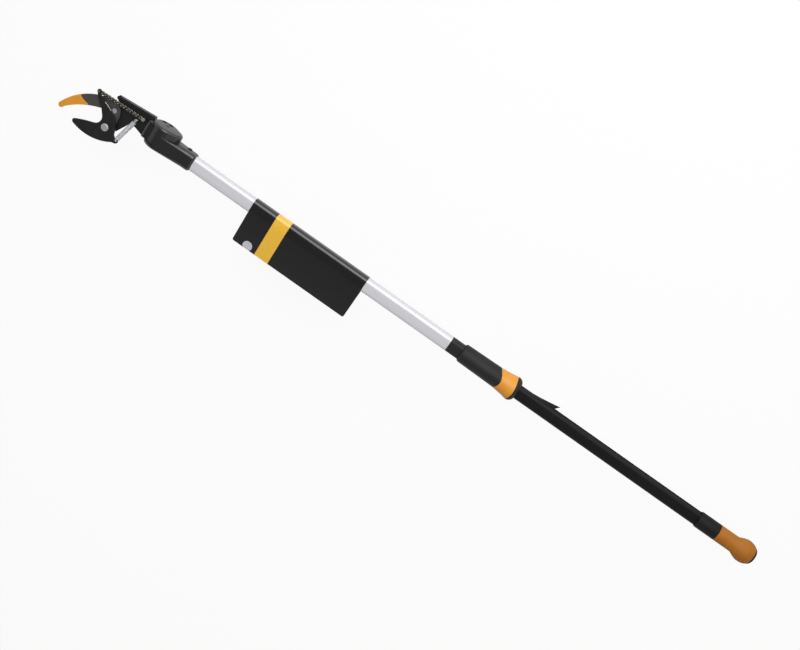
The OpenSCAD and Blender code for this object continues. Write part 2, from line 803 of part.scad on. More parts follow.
module link_plates(z, from) {
  for (k = [from : 2 : chain_links - 1], s = [0, 1])
    translate([k * chain_pitch, 0, s == 0 ? z : -z - link_t]) linear_extrude(link_t) difference() {
      link_outline();
      for (x = [0, chain_pitch]) translate([x, 0]) circle(pin_r + 0.03);
    }
}

module chain_outer_links() color("#232324") at_chain() link_plates(outer_z, 0);

module chain_inner_links() color("#a9a9ac") at_chain() link_plates(inner_z, 1);

module chain_rollers() color("#8d8d90") at_chain() for (k = [1 : chain_links - 1])
  translate([k * chain_pitch, 0, 0]) difference() {
    cylinder(r = 2.3, h = inner_gap - 0.1, center = true);
    cylinder(r = pin_r + 0.03, h = inner_gap + 1, center = true);
  }

chain_pin_half = outer_z + link_t + 0.25;

module chain_pins() color("#c2c2c4") at_chain() for (k = [0 : chain_links])
  translate([k * chain_pitch, 0, 0]) cylinder(r = pin_r, h = 2 * chain_pin_half, center = true);

// Reel in the barrel: a drum for the long strap, on a shaft that also winds the chain's strap

module reel() color("#5a5a5e") at_head() difference() {
  union() {
    rod_y(reel_r - 1.2, drum_low, drum_high);
    rod_y(reel_r + 1.4, drum_low, drum_low + 1.2);
    rod_y(reel_r + 1.4, drum_high - 1.2, drum_high);
  }
  rod_y(hub_r, drum_low - 1, drum_high + 1);
}

module reel_shaft() color("#a0a0a4") at_head() rod_y(hub_r, ear_low + 0.4, ear_high - 0.4);

// Sliding grip

sleeve_back = grip_back + collar_len + flare_len;
bed_r = grip_r - 2.6;

function grip_skin(x) = grip_r2 + (grip_r - grip_r2) * (x - sleeve_back) / (grip_front - sleeve_back);

module grip_bore() along_x(grip_back - 1, grip_len + 2) lower_section(slip / 2);

// Plan of the black sleeve: an arched end towards the collar
module sleeve_plan() {
  r = (grip_r2 * grip_r2 + tongue * tongue) / (2 * tongue);
  translate([sleeve_back - tongue + r, 0]) intersection() {
    circle(r);
    translate([-r, -grip_r2 - 1]) square([r, 2 * grip_r2 + 2]);
  }
  translate([sleeve_back, -grip_r2 - 1]) square([grip_front - sleeve_back, 2 * grip_r2 + 2]);
}

// Plan of the black collar: its front edge is hollow, so the flare shows an arched end
module collar_plan() {
  half = flare_r + 1.5;
  r = (half * half + collar_arch * collar_arch) / (2 * collar_arch);
  difference() {
    translate([grip_back - 1, -flare_r - 2]) square([collar_len + 1, 2 * flare_r + 4]);
    translate([grip_back + collar_len - collar_arch + r, 0]) circle(r, $fn = 96);
  }
}

flare_profile = concat(
  [[0, grip_back]],
  arc3([ferrule_r + 0.4, grip_back], [flare_r - 2.2, grip_back + 4], [flare_r, grip_back + collar_len], 8),
  arc3([flare_r - 0.1, grip_back + collar_len + 0.5], [grip_r2 + 1.5, grip_back + collar_len + 18], [grip_r2, sleeve_back], 8),
  [[grip_r2, sleeve_back + 1], [0, sleeve_back + 1]]
);

module grip_core() color("#e09a3a") difference() {
  union() {
    difference() {
      turned_x(flare_profile);
      plate(-40, 80) sleeve_plan();
      plate(-40, 80) collar_plan();
    }
    turned_x([[0, grip_back + collar_len], [bed_r, grip_back + collar_len], [bed_r, grip_front - 3], [0, grip_front - 3]]);
  }
  grip_bore();
}

module grip_sleeve() color("#2b2b2c") difference() {
  intersection() {
    turned_x([
      [0, sleeve_back - tongue - 1], [grip_skin(sleeve_back - tongue) + 0.3, sleeve_back - tongue - 1],
      [grip_r2, sleeve_back], [grip_skin(grip_front - 4), grip_front - 4],
      [grip_r - 0.8, grip_front - 1.4], [grip_r - 2.2, grip_front], [0, grip_front]
    ]);
    plate(-40, 80) sleeve_plan();
  }
  turned_x([[0, grip_back], [bed_r, grip_back], [bed_r, grip_front - 3], [0, grip_front - 3]]);
  grip_bore();
}

module grip_collar() color("#202021") difference() {
  intersection() {
    turned_x(flare_profile);
    plate(-40, 80) collar_plan();
  }
  grip_bore();
}

clamp_len = 40;
clamp_from = grip_front - clamp_len - 34;

// Tooth of the grip that presses the strap into the groove
module strap_clamp() color("#3a3a3c") {
  top = strap_y - strap_t / 2;
  tooth_w = lower_t - 2 * lower_r;
  along_x(clamp_from, clamp_len) translate([-lower_w / 2 - slip / 2, -tooth_w / 2])
    square([top + lower_w / 2 + slip / 2, tooth_w]);
}

module pull_strap() color("#1b1b1c")
  along_x(grip_back, flat_strap_end - grip_back) translate([strap_y - strap_t / 2, -strap_w / 2])
    square([strap_t, strap_w]);

twist_end = flat_strap_end + 120;
wind_tilt = atan2(reel_r + strap_clear - strap_in_pole_z, swivel_x - roller_x);

// Upper end of the strap: it turns a quarter, passes the roller and meets the reel
module drive_strap() color("#1b1b1c") ribbon(concat(
  [for (i = [0 : 8]) let (k = i / 8)
    [flat_strap_end + (twist_end - flat_strap_end) * k, strap_y + (drum_mid - strap_y) * k, strap_in_pole_z * k, 90 * k]],
  [[roller_x + 0.8, drum_mid, strap_in_pole_z, 90],
   [swivel_x - (reel_r + strap_clear) * sin(wind_tilt), drum_mid, (reel_r + strap_clear) * cos(wind_tilt), 90]]
), strap_w, strap_t);

tail_turn = 62;
tail_lift = 6.2;

// Loose end of the strap below the collar: it springs out of the groove and turns its face
module strap_tail() color("#1b1b1c") difference() {
  ribbon([for (i = [10 : -1 : 0]) let (k = i / 10)
    [grip_back - tail_len * k, strap_y - tail_lift * k * k, 0, tail_turn * k * k]], strap_w, strap_t);
  plate(-20, 40) translate([grip_back - tail_len, strap_y - tail_lift]) polygon([
    [-30, -strap_w / 2], [0.6, -strap_w / 2], [strap_w * 0.9, strap_w / 2], [-30, strap_w / 2]
  ]);
}

upper_pole();
pole_joint();
lower_pole();
end_ferrule();
ball_handle();
end_cap();
housing_front();
housing_back();
housing_screws();
pole_screw();
swivel_screws();
guide_roller();
card_sleeve();
head_frame();
hook_plate();
hook_cover();
hook_screw();
pivot_bolt();
pivot_nut();
spring_post();
return_spring();
hub_strap();
blade();
chain_outer_links();
chain_inner_links();
chain_rollers();
chain_pins();
reel();
reel_shaft();
grip_core();
grip_sleeve();
grip_collar();
strap_clamp();
pull_strap();
drive_strap();
strap_tail();
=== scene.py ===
import bpy
import bmesh
import json
import math
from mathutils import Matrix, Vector
from mathutils.bvhtree import BVHTree

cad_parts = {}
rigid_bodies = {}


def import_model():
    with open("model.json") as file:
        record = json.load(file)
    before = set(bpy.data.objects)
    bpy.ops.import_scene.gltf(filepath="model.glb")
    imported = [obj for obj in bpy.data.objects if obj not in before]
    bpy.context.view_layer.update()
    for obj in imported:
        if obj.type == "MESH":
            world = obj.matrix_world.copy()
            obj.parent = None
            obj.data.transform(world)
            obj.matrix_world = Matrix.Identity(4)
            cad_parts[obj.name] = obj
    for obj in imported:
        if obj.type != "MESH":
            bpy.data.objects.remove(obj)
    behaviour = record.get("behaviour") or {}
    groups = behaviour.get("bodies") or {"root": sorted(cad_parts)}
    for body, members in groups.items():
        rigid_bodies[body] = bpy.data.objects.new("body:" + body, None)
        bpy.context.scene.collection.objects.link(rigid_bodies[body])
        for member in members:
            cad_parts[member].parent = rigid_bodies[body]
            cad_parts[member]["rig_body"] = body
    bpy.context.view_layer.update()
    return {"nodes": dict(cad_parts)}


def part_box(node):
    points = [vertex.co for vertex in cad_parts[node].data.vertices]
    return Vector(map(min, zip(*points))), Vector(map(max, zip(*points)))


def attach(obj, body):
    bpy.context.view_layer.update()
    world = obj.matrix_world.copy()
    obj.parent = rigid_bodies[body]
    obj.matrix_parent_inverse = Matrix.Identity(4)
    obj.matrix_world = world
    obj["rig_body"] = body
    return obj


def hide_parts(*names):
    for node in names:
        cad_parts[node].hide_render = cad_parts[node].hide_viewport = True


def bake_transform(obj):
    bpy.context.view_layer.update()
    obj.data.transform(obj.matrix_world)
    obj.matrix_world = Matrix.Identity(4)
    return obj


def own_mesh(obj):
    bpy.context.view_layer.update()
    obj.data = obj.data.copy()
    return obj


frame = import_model()
nodes = frame["nodes"]
scene = bpy.context.scene
scene.view_settings.view_transform = "Standard"
mm = 0.001
zAxis = Vector((0, 0, 1))


# Small tools

def linear(code):
    # sRGB hex to the linear values that Blender mixes
    parts = [int(code[i:i + 2], 16) / 255 for i in (1, 3, 5)]
    return [c / 12.92 if c <= 0.04045 else ((c + 0.055) / 1.055) ** 2.4 for c in parts] + [1]


def grey(value):
    return (value, value, value, 1)


def perMm(size):
    # texture scale for a pattern that repeats every so many millimetres
    return 1000 / size


def addNode(tree, kind, settings=None, links=None):
    # settings name a socket, a property or, as "stops", the colours along a ramp
    node = tree.nodes.new(kind)
    for key, value in (settings or {}).items():
        if key == "stops":
            stops = node.color_ramp.elements
            stops[0].position, stops[0].color = value[0]
            stops[1].position, stops[1].color = value[-1]
            for position, colour in value[1:-1]:
                stops.new(position).color = colour
        elif isinstance(key, int) or key in node.inputs:
            node.inputs[key].default_value = value
        else:
            setattr(node, key, value)
    for key, source in (links or {}).items():
        tree.links.new(source, node.inputs[key])
    return node


def newMaterial(name):
    made = bpy.data.materials.new(name)
    made.use_nodes = True
    tree = made.node_tree
    tree.nodes.clear()
    shader = addNode(tree, "ShaderNodeBsdfPrincipled")
    addNode(tree, "ShaderNodeOutputMaterial", {}, {"Surface": shader.outputs["BSDF"]})
    place = addNode(tree, "ShaderNodeTexCoord").outputs["Object"]
    return made, tree, shader, place


def finishOf(tree, shader, colour, rough, bump, height):
    # links a colour, a roughness and a bump of so many millimetres to the shader
    tree.links.new(colour, shader.inputs["Base Color"])
    tree.links.new(rough, shader.inputs["Roughness"])
    lift = addNode(tree, "ShaderNodeBump", {"Distance": height * mm, "Strength": 1.0}, {"Height": bump})
    tree.links.new(lift.outputs["Normal"], shader.inputs["Normal"])


def solidOf(name, mesh, material):
    made = bpy.data.objects.new(name, mesh)
    scene.collection.objects.link(made)
    made.data.materials.clear()
    made.data.materials.append(material)
    return made


meshing = {"weld": 2e-6, "flat": 0.4, "crease": 30, "softCrease": 40}  # metres, then degrees


def smoothAbove(mesh, angle):
    # smooth faces, with a crease wherever two faces meet at more than this angle
    shape = bmesh.new()
    shape.from_mesh(mesh)
    for face in shape.faces:
        face.smooth = True
    for edge in shape.edges:
        edge.smooth = len(edge.link_faces) == 2 and edge.calc_face_angle(0) < math.radians(angle)
    shape.to_mesh(mesh)
    shape.free()


def dress(node, name, material, edge, crease=meshing["crease"], segments=3):
    # a finer copy of a CAD solid: merged faces, edges rounded by so many millimetres, smooth shading
    shape = bmesh.new()
    shape.from_mesh(nodes[node].data)
    bmesh.ops.remove_doubles(shape, verts=shape.verts, dist=meshing["weld"])
    bmesh.ops.dissolve_limit(shape, angle_limit=math.radians(meshing["flat"]),
                             verts=shape.verts, edges=shape.edges)
    mesh = bpy.data.meshes.new(name)
    shape.to_mesh(mesh)
    shape.free()
    smoothAbove(mesh, crease)
    made = solidOf(name, mesh, material)
    if edge:
        bevel = made.modifiers.new("edge", "BEVEL")
        bevel.width = edge * mm
        bevel.segments = segments
        bevel.limit_method = "ANGLE"
        bevel.angle_limit = math.radians(crease)
        bevel.use_clamp_overlap = True
        bevel.harden_normals = True
    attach(made, nodes[node]["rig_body"])
    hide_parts(node)
    return made


# Materials

def anodisedAluminium():
    # drawn tube, satin anodised: a cool bright grey with faint lines along its length
    # the draw lines are far coarser than real ones, which would be lost at this size
    look = {"base": "#dddce1", "shade": "#d8d7dc", "line": 2.2, "run": 400.0, "smooth": 0.44, "dull": 0.48,
            "metal": 0.25, "depth": 0.002}
    made, tree, shader, place = newMaterial("anodisedAluminium")
    drawn = addNode(tree, "ShaderNodeMapping", {
        "Scale": (perMm(look["run"]), perMm(look["line"]), perMm(look["line"]))}, {"Vector": place})
    lines = addNode(tree, "ShaderNodeTexNoise", {"Scale": 1.0, "Detail": 3.0},
                    {"Vector": drawn.outputs["Vector"]}).outputs["Fac"]
    tone = addNode(tree, "ShaderNodeValToRGB", {
        "stops": [(0.3, linear(look["shade"])), (0.7, linear(look["base"]))]}, {"Fac": lines})
    rough = addNode(tree, "ShaderNodeValToRGB", {
        "stops": [(0.3, grey(look["smooth"])), (0.7, grey(look["dull"]))]}, {"Fac": lines})
    shader.inputs["Metallic"].default_value = look["metal"]
    finishOf(tree, shader, tone.outputs["Color"], rough.outputs["Color"], lines, look["depth"])
    return made


def glassFibreTube():
    # pultruded tube with a black satin skin: near black, faint lines where the fibres run
    # the lines are coarser than real fibres, so that they hold at this size
    look = {"base": "#070708", "worn": "#0f0f10", "line": 1.4, "run": 160.0, "smooth": 0.5, "dull": 0.6,
            "ior": 1.3, "depth": 0.02}
    made, tree, shader, place = newMaterial("glassFibreTube")
    pulled = addNode(tree, "ShaderNodeMapping", {
        "Scale": (perMm(look["run"]), perMm(look["line"]), perMm(look["line"]))}, {"Vector": place})
    lines = addNode(tree, "ShaderNodeTexNoise", {"Scale": 1.0, "Detail": 4.0},
                    {"Vector": pulled.outputs["Vector"]}).outputs["Fac"]
    tone = addNode(tree, "ShaderNodeValToRGB", {
        "stops": [(0.35, linear(look["base"])), (0.75, linear(look["worn"]))]}, {"Fac": lines})
    rough = addNode(tree, "ShaderNodeValToRGB", {
        "stops": [(0.3, grey(look["smooth"])), (0.7, grey(look["dull"]))]}, {"Fac": lines})
    shader.inputs["IOR"].default_value = look["ior"]
    finishOf(tree, shader, tone.outputs["Color"], rough.outputs["Color"], lines, look["depth"])
    return made


def mouldedPlastic(name, look):
    # injection moulded: a spark-eroded grain over a slightly cloudy colour
    # the grain is about ten times coarser than the mould's, so that it holds at this size
    swing = 0.05  # of the roughness, up and down
    made, tree, shader, place = newMaterial(name)
    cloud = addNode(tree, "ShaderNodeTexNoise", {"Scale": perMm(look["cloud"]), "Detail": 3.0},
                    {"Vector": place}).outputs["Fac"]
    grain = addNode(tree, "ShaderNodeTexNoise", {"Scale": perMm(look["grain"]), "Detail": 2.0},
                    {"Vector": place}).outputs["Fac"]
    tone = addNode(tree, "ShaderNodeValToRGB", {
        "stops": [(0.3, linear(look["shade"])), (0.7, linear(look["base"]))]}, {"Fac": cloud})
    rough = addNode(tree, "ShaderNodeValToRGB", {
        "stops": [(0.3, grey(look["rough"] - swing)), (0.7, grey(look["rough"] + swing))]}, {"Fac": grain})
    shader.inputs["IOR"].default_value = look["ior"]
    finishOf(tree, shader, tone.outputs["Color"], rough.outputs["Color"], grain, look["depth"])
    return made


def coatedSteel(name, look):
    # metal under a thin coat or plate: small paler, smoother flecks where it is rubbed
    # flecks and grain are coarser than real ones, so that they hold at this size
    swing = 0.06  # of the roughness, up and down
    made, tree, shader, place = newMaterial(name)
    fleck = addNode(tree, "ShaderNodeTexNoise", {"Scale": perMm(look["fleck"]), "Detail": 5.0},
                    {"Vector": place}).outputs["Fac"]
    grain = addNode(tree, "ShaderNodeTexNoise", {"Scale": perMm(look["grain"]), "Detail": 2.0},
                    {"Vector": place}).outputs["Fac"]
    tone = addNode(tree, "ShaderNodeValToRGB", {
        "stops": [(0.3, linear(look["shade"])), (0.62, linear(look["base"])), (0.8, linear(look["worn"]))]},
        {"Fac": fleck})
    rough = addNode(tree, "ShaderNodeValToRGB", {
        "stops": [(0.3, grey(look["rough"] + swing)), (0.75, grey(look["rough"] - swing))]}, {"Fac": fleck})
    shader.inputs["Metallic"].default_value = look["metal"]
    finishOf(tree, shader, tone.outputs["Color"], rough.outputs["Color"], grain, look["depth"])
    return made


def wovenWebbing():
    # flat woven nylon strap: slanted rows of small floats, dull with a faint sheen
    # the thread is about three times the real one, so that the weave shows
    look = {"base": "#0c0c0d", "float": "#1b1b1d", "thread": 1.6, "bandTurn": 6.3, "smooth": 0.62,
            "dull": 0.85, "sheen": 0.05, "ior": 1.3, "depth": 0.2}
    made, tree, shader, place = newMaterial("wovenWebbing")
    scale = perMm(look["thread"]) / look["bandTurn"]  # the wave node then gives a band to two threads
    rows = addNode(tree, "ShaderNodeTexWave", {
        "bands_direction": "DIAGONAL", "Scale": scale, "Distortion": 0.6, "Detail": 1.0}, {"Vector": place})
    cross = addNode(tree, "ShaderNodeTexWave", {
        "bands_direction": "X", "Scale": scale, "Distortion": 0.2}, {"Vector": place})
    weave = addNode(tree, "ShaderNodeMath", {"operation": "MULTIPLY"},
                    {0: rows.outputs["Fac"], 1: cross.outputs["Fac"]}).outputs["Value"]
    tone = addNode(tree, "ShaderNodeValToRGB", {
        "stops": [(0.1, linear(look["base"])), (0.9, linear(look["float"]))]}, {"Fac": weave})
    rough = addNode(tree, "ShaderNodeValToRGB", {
        "stops": [(0.1, grey(look["dull"])), (0.9, grey(look["smooth"]))]}, {"Fac": weave})
    shader.inputs["Sheen Weight"].default_value = look["sheen"]
    shader.inputs["IOR"].default_value = look["ior"]
    finishOf(tree, shader, tone.outputs["Color"], rough.outputs["Color"], weave, look["depth"])
    return made


def printedCard():
    # coated board, black with one yellow band and varnished: dark face on, pale where it turns away
    # the board's fibre is coarser than real, so that it holds at this size
    look = {"ink": "#0a0a0b", "inkLit": "#0e0e0f", "band": "#f2bb33", "bandLit": "#f6c448", "fibre": 2.5,
            "bandFrom": 1.0825, "bandTo": 1.1135, "smooth": 0.28, "dull": 0.34, "ior": 1.45, "varnish": 0.5,
            "varnishRough": 0.16, "depth": 0.006}
    made, tree, shader, place = newMaterial("printedCard")
    fibre = addNode(tree, "ShaderNodeTexNoise", {"Scale": perMm(look["fibre"]), "Detail": 6.0},
                    {"Vector": place}).outputs["Fac"]
    ink = addNode(tree, "ShaderNodeValToRGB", {
        "stops": [(0.3, linear(look["ink"])), (0.7, linear(look["inkLit"]))]}, {"Fac": fibre})
    band = addNode(tree, "ShaderNodeValToRGB", {
        "stops": [(0.3, linear(look["band"])), (0.7, linear(look["bandLit"]))]}, {"Fac": fibre})
    along = addNode(tree, "ShaderNodeSeparateXYZ", {}, {"Vector": place}).outputs["X"]
    middle = (look["bandFrom"] + look["bandTo"]) / 2
    off = addNode(tree, "ShaderNodeMath", {"operation": "SUBTRACT", 1: middle}, {0: along})
    off = addNode(tree, "ShaderNodeMath", {"operation": "ABSOLUTE"}, {0: off.outputs["Value"]})
    inside = addNode(tree, "ShaderNodeMath", {
        "operation": "LESS_THAN", 1: (look["bandTo"] - look["bandFrom"]) / 2}, {0: off.outputs["Value"]})
    tone = addNode(tree, "ShaderNodeMix", {"data_type": "RGBA"}, {
        "Factor": inside.outputs["Value"], 6: ink.outputs["Color"], 7: band.outputs["Color"]})
    rough = addNode(tree, "ShaderNodeValToRGB", {
        "stops": [(0.3, grey(look["smooth"])), (0.7, grey(look["dull"]))]}, {"Fac": fibre})
    shader.inputs["IOR"].default_value = look["ior"]
    shader.inputs["Coat Weight"].default_value = look["varnish"]
    shader.inputs["Coat Roughness"].default_value = look["varnishRough"]
    finishOf(tree, shader, tone.outputs[2], rough.outputs["Color"], fibre, look["depth"])
    return made


aluminium = anodisedAluminium()
tubeSkin = glassFibreTube()
# filled nylon from a polished mould: near black, with a soft highlight along each edge
nylon = mouldedPlastic("mouldedNylon", {
    "base": "#0f0f12", "shade": "#0b0b0e", "cloud": 30.0, "grain": 0.9, "rough": 0.34, "depth": 0.02,
    "ior": 1.66})
# nylon from a grained mould: very dark grey with hardly a highlight
satinNylon = mouldedPlastic("satinNylon", {
    "base": "#171718", "shade": "#131314", "cloud": 30.0, "grain": 0.9, "rough": 0.6, "depth": 0.02,
    "ior": 1.4})
# coloured polypropylene: a warm even orange with a satin face
orangePlastic = mouldedPlastic("mouldedPolypropylene", {
    "base": "#e59c30", "shade": "#dd9228", "cloud": 25.0, "grain": 1.1, "rough": 0.46, "depth": 0.03,
    "ior": 1.49})
# the same in a deeper orange, dulled where the palm rubs it
ballPlastic = mouldedPlastic("ballPolypropylene", {
    "base": "#ad6a14", "shade": "#a36211", "cloud": 25.0, "grain": 1.1, "rough": 0.6, "depth": 0.03,
    "ior": 1.4})
# nylon with a matt grain: black, almost without gloss
mattNylon = mouldedPlastic("mattNylon", {
    "base": "#0c0c0d", "shade": "#09090a", "cloud": 30.0, "grain": 0.9, "rough": 0.66, "depth": 0.02,
    "ior": 1.32})
# soft rubber moulded over the grip: a dull very dark grey
softGrip = mouldedPlastic("softElastomer", {
    "base": "#171718", "shade": "#121213", "cloud": 18.0, "grain": 0.8, "rough": 0.62, "depth": 0.05,
    "ior": 1.4})
# cutting steel under a smooth slippery coat: black with a low satin gloss
bladeCoat = coatedSteel("blackCoatedSteel", {
    "base": "#111113", "shade": "#0d0d0f", "worn": "#1c1c1e", "fleck": 9.0, "grain": 0.7, "rough": 0.42,
    "metal": 0.1, "depth": 0.02})
# phosphated steel: a dull warm grey with fine crystal flecks
hookCoat = coatedSteel("greyPhosphatedSteel", {
    "base": "#4d4a46", "shade": "#42403c", "worn": "#605c57", "fleck": 6.0, "grain": 0.7, "rough": 0.5,
    "metal": 0.3, "depth": 0.02})
# cast alloy under black powder paint: a faintly pebbled gloss
frameCoat = coatedSteel("blackCastAlloy", {
    "base": "#131315", "shade": "#0e0e10", "worn": "#1e1e20", "fleck": 8.0, "grain": 1.0, "rough": 0.38,
    "metal": 0.1, "depth": 0.06})
# the same cast alloy lifted to a soft mid grey: a painted highlight along the collar's rounded front edge,
# where that edge catches the light
collarHighlightPaint = coatedSteel("paintedCollarHighlight", {
    "base": "#5c5b56", "shade": "#43423e", "worn": "#77756f", "fleck": 5.0, "grain": 1.0, "rough": 0.36,
    "metal": 0.4, "depth": 0.02})
# painted highlight: a pale bright line on the blade's edge, standing for the light that edge catches
bladeHighlightPaint = coatedSteel("paintedBladeHighlight", {
    "base": "#b3b2ad", "shade": "#9b9a95", "worn": "#c9c8c3", "fleck": 3.0, "grain": 0.5, "rough": 0.42,
    "metal": 0.4, "depth": 0.005})
# zinc plate: pale cool grey, slightly cloudy
platedSteel = coatedSteel("zincPlatedSteel", {
    "base": "#b4b4b8", "shade": "#a6a6aa", "worn": "#c6c6ca", "fleck": 4.0, "grain": 0.5, "rough": 0.4,
    "metal": 0.45, "depth": 0.005})
# nickel plate: bright and a little warm
linkSteel = coatedSteel("nickelPlatedSteel", {
    "base": "#a8a193", "shade": "#8d877b", "worn": "#c4bdb0", "fleck": 3.0, "grain": 0.5, "rough": 0.4,
    "metal": 0.5, "depth": 0.01})
# oiled chain steel: dark brown grey with a glint, made darker than the plates' own mid grey as painted shade
# for the rail's shadow over the chain
plateSteelAndShade = coatedSteel("oiledChainSteelAndShade", {
    "base": "#2e2c28", "shade": "#24221f", "worn": "#403d38", "fleck": 3.0, "grain": 0.5, "rough": 0.42,
    "metal": 0.5, "depth": 0.01})
# drawn spring wire: pale and even, brighter on each turn's crown
springSteel = coatedSteel("brightSpringWire", {
    "base": "#c6c8cb", "shade": "#bcbec2", "worn": "#d2d3d6", "fleck": 5.0, "grain": 0.5, "rough": 0.5,
    "metal": 0.35, "depth": 0.002})
# blackened steel: dark, with the glint of bare metal under it
darkSteel = coatedSteel("blackenedSteel", {
    "base": "#2a2927", "shade": "#1f1e1d", "worn": "#3b3936", "fleck": 3.0, "grain": 0.5, "rough": 0.42,
    "metal": 0.9, "depth": 0.01})
webbing = wovenWebbing()
card = printedCard()
# polyester film over a dark board: a pale satin disc, slightly cloudy
sealFilm = mouldedPlastic("satinPolyesterFilm", {
    "base": "#cfcfd2", "shade": "#c2c2c6", "cloud": 6.0, "grain": 1.5, "rough": 0.36, "depth": 0.01,
    "ior": 1.58})
print("materials made")


# Camera and light

# metres, degrees, millimetres to a pixel, the roll's cosine and sine, the picture's width in pixels
view = {"foot": (0.8055, 0.02515), "away": 2.4, "tilt": 20.0, "scale": 1.905, "roll": (0.8176, 0.5758),
        "wide": 800, "sensor": 36, "far": 50}


def makeCamera():
    lean = math.radians(view["tilt"])
    back = Vector((0, -math.sin(lean), math.cos(lean)))
    across = Vector((0, math.cos(lean), math.sin(lean)))
    along = Vector((1, 0, 0))
    c, s = view["roll"]
    right = (-c * along - s * across).normalized()
    up = (s * along - c * across).normalized()
    camera = bpy.data.objects.new("camera", bpy.data.cameras.new("camera"))
    scene.collection.objects.link(camera)
    turn = camera.matrix_world.to_3x3()
    turn.col[0], turn.col[1], turn.col[2] = right, up, back
    camera.matrix_world = turn.to_4x4()
    camera.location = along * view["foot"][0] + across * view["foot"][1] + back * view["away"]
    camera.data.sensor_width = view["sensor"]
    camera.data.lens = view["sensor"] * (view["away"] / (view["scale"] * mm)) / view["wide"]
    camera.data.clip_end = view["far"]
    scene.camera = camera


makeCamera()

studio = {"floor": -0.15, "reach": 12, "floorTone": "#f6f6f6", "floorRough": 0.9, "seen": 0.9, "world": 0.25,
          "wallTop": 0.5, "ceilingFrom": 0.82, "ceiling": 0.22, "key": 63.0, "keySize": 2.2,
          "keySpot": (0.9, -1.5, 1.97), "keyAim": (0.9, 0, 0)}


def plainlySeen(tree):
    # 1 for what the eye sees straight, in a reflection or through something clear
    path = addNode(tree, "ShaderNodeLightPath")
    gloss = addNode(tree, "ShaderNodeMath", {"operation": "MAXIMUM"},
                    {0: path.outputs["Is Camera Ray"], 1: path.outputs["Is Glossy Ray"]})
    clear = addNode(tree, "ShaderNodeMath", {"operation": "MAXIMUM"},
                    {0: gloss.outputs["Value"], 1: path.outputs["Is Transmission Ray"]})
    return clear.outputs["Value"]


def makeStudio():
    world = bpy.data.worlds.new("studio")
    scene.world = world
    world.use_nodes = True
    tree = world.node_tree
    tree.nodes.clear()
    # white walls under a dark ceiling, for what is seen; an even soft light for the rest
    facing = addNode(tree, "ShaderNodeTexCoord").outputs["Generated"]
    height = addNode(tree, "ShaderNodeSeparateXYZ", {}, {"Vector": facing}).outputs["Z"]
    room = addNode(tree, "ShaderNodeValToRGB", {
        "stops": [(studio["wallTop"], grey(1.0)), (studio["ceilingFrom"], grey(studio["ceiling"]))]},
        {"Fac": height})
    soft = addNode(tree, "ShaderNodeBackground", {"Color": grey(1), "Strength": studio["world"]})
    white = addNode(tree, "ShaderNodeBackground", {"Strength": 1.0}, {"Color": room.outputs["Color"]})
    mixed = addNode(tree, "ShaderNodeMixShader", {}, {
        "Fac": plainlySeen(tree), 1: soft.outputs[0], 2: white.outputs[0]})
    addNode(tree, "ShaderNodeOutputWorld", {}, {"Surface": mixed.outputs[0]})
    lamp = bpy.data.objects.new("keyLamp", bpy.data.lights.new("keyLamp", "AREA"))
    scene.collection.objects.link(lamp)
    lamp.data.energy = studio["key"]
    lamp.data.size = studio["keySize"]
    lamp.location = studio["keySpot"]
    aim = Vector(studio["keyAim"]) - Vector(studio["keySpot"])
    lamp.rotation_euler = aim.to_track_quat("-Z", "Y").to_euler()


def paleFloor():
    # white paper: seen nearly pure white, and keeping the part's soft shadow
    made, tree, shader = newMaterial("paleStudioFloor")[:3]
    shader.inputs["Base Color"].default_value = linear(studio["floorTone"])
    shader.inputs["Roughness"].default_value = studio["floorRough"]
    lit = addNode(tree, "ShaderNodeEmission", {"Color": grey(1), "Strength": 1.0})
    share = addNode(tree, "ShaderNodeMath", {"operation": "MULTIPLY", 1: studio["seen"]},
                    {0: plainlySeen(tree)})
    mixed = addNode(tree, "ShaderNodeMixShader", {}, {
        "Fac": share.outputs["Value"], 1: shader.outputs["BSDF"], 2: lit.outputs[0]})
    for node in tree.nodes:
        if node.bl_idname == "ShaderNodeOutputMaterial":
            tree.links.new(mixed.outputs[0], node.inputs["Surface"])
    reach, level = studio["reach"], studio["floor"]
    corners = [(-reach, -reach, level), (reach, -reach, level), (reach, reach, level), (-reach, reach, level)]
    mesh = bpy.data.meshes.new("floor")
    mesh.from_pydata(corners, [], [(0, 1, 2, 3)])
    solidOf("floor", mesh, made)


makeStudio()
paleFloor()
print("camera and studio made")


# Rigid pieces, each with the radius of its edges in millimetres

dress("upper_pole", "upperPole", aluminium, edge=0.3)
dress("pole_joint", "poleNeck", satinNylon, edge=0.8)
dress("lower_pole", "lowerTube", tubeSkin, edge=0.5)
dress("end_ferrule", "endFerrule", mattNylon, edge=0.8)
dress("ball_handle", "ballHandle", ballPlastic, edge=0.5)
dress("end_cap", "buttPlug", mattNylon, edge=0.3)
for half in ("front", "back"):
    dress("housing_" + half, half + "Shell", nylon, edge=0.5, crease=34)
dress("housing_screws", "shellScrews", darkSteel, edge=0.25)
dress("pole_screw", "poleScrew", darkSteel, edge=0.3)
dress("swivel_screws", "swivelScrews", darkSteel, edge=0.25)
dress("guide_roller", "guideRoller", platedSteel, edge=0.3)
dress("head_frame", "headFrame", frameCoat, edge=1.4, crease=34, segments=4)
dress("hook_plate", "hookPlate", hookCoat, edge=0.5)
dress("hook_cover", "hookCover", orangePlastic, edge=0.9)
dress("hook_screw", "hookScrew", platedSteel, edge=0.2)
dress("pivot_bolt", "pivotBolt", platedSteel, edge=0.5)
dress("pivot_nut", "pivotNut", platedSteel, edge=0.5)
dress("spring_post", "springPost", platedSteel, edge=0.3)
dress("blade", "bladePlate", bladeCoat, edge=0.9)
